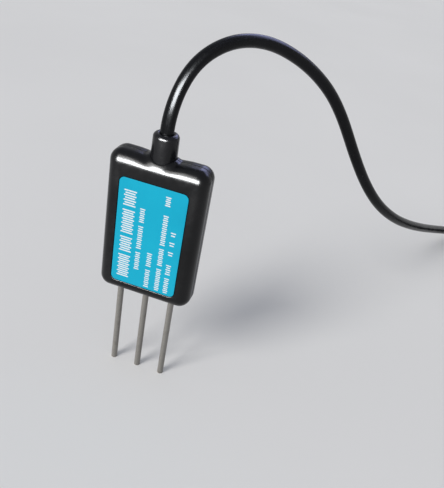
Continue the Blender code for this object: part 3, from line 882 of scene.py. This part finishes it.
# ---------------------------------------------------------------- probes
probe_pieces = []
for side, x in (("left", -13.0), ("middle", 0.0), ("right", 13.0)):
    profile = [(0.0, 68.0), (1.15, 68.0), (1.38, 67.9), (1.5, 67.6)]
    profile += [(1.5, z) for z in np.linspace(60.0, 1.2, 14)]
    profile += [(1.5, 0.2), (1.485, -0.35), (1.42, -0.75), (1.18, -1.6), (0.86, -2.65), (0.55, -3.7), (0.30, -4.5),
                (0.16, -4.85), (0.0, -4.98)]
    probe = turned("probe_rod_" + side, profile, 48, (x, 0.0, 0.0), angle=35.0)
    finish_piece(probe, steel_mat, "steel", "probe_" + side)
    probe_pieces.append(probe)

# ---------------------------------------------------------------- inner parts keep their CAD shape
INNER = {
    "sleeve_seal": rubber_mat, "crimp_ring": tin_mat, "probe_carrier": carrier_mat,
    "probe_lug_left": brass_mat, "probe_lug_middle": brass_mat, "probe_lug_right": brass_mat,
    "circuit_board": board_mat, "mcu_chip": chip_mat, "transceiver_chip": chip_mat, "voltage_regulator": chip_mat,
    "quartz_crystal": can_mat, "inductor": ferrite_mat, "electrolytic_capacitor": can_mat,
    "potting_front": epoxy_mat, "potting_rear": epoxy_mat,
    "inner_wire_brown": wire_mats["brown"], "inner_wire_black": wire_mats["black"],
    "inner_wire_yellow": wire_mats["yellow"], "inner_wire_blue": wire_mats["blue"],
}
for name, mat in INNER.items():
    NODES[name].data.materials.clear()
    NODES[name].data.materials.append(mat.mat)

# ---------------------------------------------------------------- floor, world and lights
floor_mesh = bpy.data.meshes.new("studio_floor")
bm = bmesh.new()
bmesh.ops.create_grid(bm, x_segments=8, y_segments=8, size=60.0)
bm.to_mesh(floor_mesh)
bm.free()
floor = bpy.data.objects.new("studio_floor", floor_mesh)
scene.collection.objects.link(floor)
floor_mat = Mat("floor_pale", specular=0.05)
speck = floor_mat.noise(3.0, 3.0)
floor_mat.colour(floor_mat.ramp(speck, [(0.3, (0.765, 0.760, 0.745)), (0.7, (0.785, 0.780, 0.765))]))
floor_mat.rough(speck, 0.85, 0.95)
floor_mesh.materials.append(floor_mat.mat)

world = bpy.data.worlds.new("studio")
scene.world = world
world.use_nodes = True
tree = world.node_tree
background = tree.nodes["Background"]
coords = tree.nodes.new("ShaderNodeTexCoord")
split = tree.nodes.new("ShaderNodeSeparateXYZ")
ramp = tree.nodes.new("ShaderNodeValToRGB")
tree.links.new(coords.outputs["Generated"], split.inputs[0])
tree.links.new(split.outputs["Z"], ramp.inputs["Fac"])
ramp.color_ramp.elements[0].position = 0.0
ramp.color_ramp.elements[0].color = (0.63, 0.63, 0.63, 1.0)
ramp.color_ramp.elements[1].position = 0.75
ramp.color_ramp.elements[1].color = (0.39, 0.41, 0.47, 1.0)
tree.links.new(ramp.outputs["Color"], background.inputs["Color"])
background.inputs["Strength"].default_value = 1.0


def softbox(name, azimuth, elevation, distance, width, height, power, colour=(1.0, 1.0, 1.0), target=(0.02, 0.02, 0.08), glossy_only=False):
    """A soft area light. Azimuth 0 stands in front of the label, elevation above the floor."""
    a, e = math.radians(azimuth), math.radians(elevation)
    data = bpy.data.lights.new(name, "AREA")
    data.shape = "RECTANGLE"
    data.size, data.size_y = width, height
    data.energy = power
    data.color = colour
    obj = bpy.data.objects.new(name, data)
    out = Vector((math.sin(a) * math.cos(e), -math.cos(a) * math.cos(e), math.sin(e)))
    obj.location = Vector(target) + out * distance
    obj.rotation_mode = "QUATERNION"
    obj.rotation_quaternion = (-out).to_track_quat("-Z", "Y")
    if glossy_only:
        obj.visible_diffuse = False
    scene.collection.objects.link(obj)
    return obj


sun_data = bpy.data.lights.new("key", "SUN")
sun_data.energy = 1.9
sun_data.angle = math.radians(24.0)
sun_data.color = (1.0, 0.985, 0.96)
key = bpy.data.objects.new("key", sun_data)
a, e = math.radians(-30.0), math.radians(38.0)
key.rotation_mode = "QUATERNION"
key.rotation_quaternion = Vector((-math.sin(a) * math.cos(e), math.cos(a) * math.cos(e), -math.sin(e))).to_track_quat("-Z", "Y")
scene.collection.objects.link(key)
strip = softbox("front_strip", -9.0, 16.0, 1.2, 1.3, 0.58, 228.0, (0.97, 0.985, 1.0), glossy_only=True)
upper = softbox("cable_strip", 6.0, 34.5, 1.2, 1.15, 0.70, 290.0, (0.93, 0.965, 1.0), glossy_only=True)
side_box = softbox("probe_side", -44.0, 6.0, 1.2, 0.5, 0.16, 28.0, (1.0, 0.985, 0.955))
rear = softbox("rear_fill", 165.0, 34.0, 1.5, 1.4, 0.6, 12.0, (0.52, 0.56, 1.0), glossy_only=True)
for lamp, lit in ((strip, (front_piece, sleeve_piece)), (upper, (cable_piece, tie_piece)), (side_box, probe_pieces),
                  (rear, (front_piece, rear_piece, sleeve_piece, cable_piece, tie_piece))):
    receivers = bpy.data.collections.new("lit_by_" + lamp.name)
    for piece in lit:
        receivers.objects.link(piece)
    lamp.light_linking.receiver_collection = receivers
